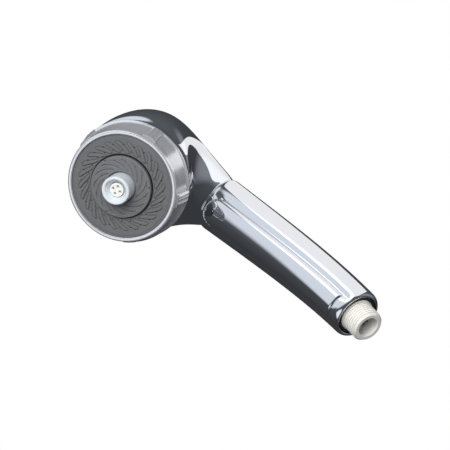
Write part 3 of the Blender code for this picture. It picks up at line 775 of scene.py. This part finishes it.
def from_camera(right, up, toward):
    """A place given along the camera's right, up and backward directions from the aim point."""
    return AIM + VIEW_RIGHT * right + VIEW_UP * up + VIEW_BACK * toward


def camera():
    """Long-lens camera that looks up at the face from in front and to one side."""
    data = bpy.data.cameras.new("camera")
    data.lens = LENS
    data.sensor_width = 36.0
    data.clip_end = 20.0
    obj = bpy.data.objects.new("camera", data)
    bpy.context.scene.collection.objects.link(obj)
    turn = Matrix((VIEW_RIGHT, VIEW_UP, VIEW_BACK)).transposed().to_4x4()
    obj.matrix_world = Matrix.Translation(from_camera(0, 0, CAMERA_AWAY)) @ turn
    bpy.context.scene.camera = obj


def card(name, place, target, width, height, glow):
    """Rectangular light of an even glow facing its target; the camera doesn't see it."""
    data = bpy.data.lights.new(name, "AREA")
    data.shape = "RECTANGLE"
    data.size = width
    data.size_y = height
    data.energy = glow * math.pi * width * height
    obj = bpy.data.objects.new(name, data)
    bpy.context.scene.collection.objects.link(obj)
    facing = (place - target).normalized()
    side = (VIEW_RIGHT - facing * VIEW_RIGHT.dot(facing)).normalized()
    turn = Matrix((side, facing.cross(side), facing)).transposed().to_4x4()
    obj.matrix_world = Matrix.Translation(place) @ turn
    obj.visible_camera = False
    return obj


def toward(away, round_image):
    """Direction at an angle from the line to the camera, turned round it from the right."""
    a, b = math.radians(away), math.radians(round_image)
    return (VIEW_BACK * math.cos(a) + (VIEW_RIGHT * math.cos(b) + VIEW_UP * math.sin(b)) * math.sin(a))


GLOWS = (  # away from the camera's line, round it, full within, nothing beyond (degrees), strength
    (72, 134, 30, 42, 0.78),
    (47, 220, 14, 26, 1.0),
    (88, 14, 10, 42, 0.20),
)


def studio_world():
    """White surround for the camera; the chrome mirrors soft glows on a dim ground."""
    world = bpy.data.worlds.new("studio")
    bpy.context.scene.world = world
    world.use_nodes = True
    world.node_tree.nodes.clear()
    sky = Nodes(world.node_tree)
    where = sky.node("ShaderNodeTexCoord").outputs["Generated"]

    def along(axis):
        """Cosine of the angle from the axis."""
        made = sky.node("ShaderNodeVectorMath", {"operation": "DOT_PRODUCT"}, {0: where, 1: axis})
        return Varying(sky, made.outputs["Value"])

    light = 0.05 + along(toward(60, 100)).between(-0.6, 0.9) * 0.07
    for away, turn, full, end, strength in GLOWS:
        edge = math.cos(math.radians(end))
        core = math.cos(math.radians(full))
        inside = along(toward(away, turn)).between(edge, core)
        light = light + inside.eased() * strength
    lit = sky.node("ShaderNodeBackground", None, {"Color": (0.86, 0.92, 1.0, 1.0), "Strength": light})
    seen = sky.node("ShaderNodeBackground", None, {"Color": (1.0, 1.0, 1.0, 1.0), "Strength": 1.0})
    camera_ray = sky.node("ShaderNodeLightPath").outputs["Is Camera Ray"]
    mix = sky.node("ShaderNodeMixShader", None, {0: camera_ray, 1: lit.outputs[0], 2: seen.outputs[0]})
    sky.node("ShaderNodeOutputWorld", None, {"Surface": mix.outputs[0]})


FLOOR_HALF = 6.0
FLOOR_Z = -1.3


def floor():
    """Plain pale floor well below the hanging handset."""
    mesh = bpy.data.meshes.new("floor")
    corners = [(x * FLOOR_HALF, y * FLOOR_HALF, FLOOR_Z) for x, y in ((-1, -1), (1, -1), (1, 1), (-1, 1))]
    mesh.from_pydata(corners, [], [(0, 1, 2, 3)])
    obj = bpy.data.objects.new("floor", mesh)
    bpy.context.scene.collection.objects.link(obj)
    paint = Finish("floor_paint", (0.85, 0.85, 0.86), 0.7)
    paint.rough(0.65 + paint.noise(4) * 0.1)
    obj.data.materials.append(paint.material)
    obj.visible_glossy = False


def lights():
    """A card close over the handle, and a fill that the chrome doesn't mirror."""
    card("handle_card", from_camera(0.094, 0.080, -0.02), from_camera(0.106, -0.021, -0.02),
         width=0.178, height=0.26, glow=0.9)
    fill = card("fill", from_camera(-0.35, 0.45, 1.2), from_camera(-0.03, 0, 0),
                width=0.9, height=0.9, glow=7.5)
    fill.visible_glossy = False


bpy.context.scene.view_settings.view_transform = "Standard"
camera()
body_skin()
insert_skin()
ring_skin()
face_pieces()
nipple_skin()
gasket_skin()
dress()
studio_world()
floor()
lights()
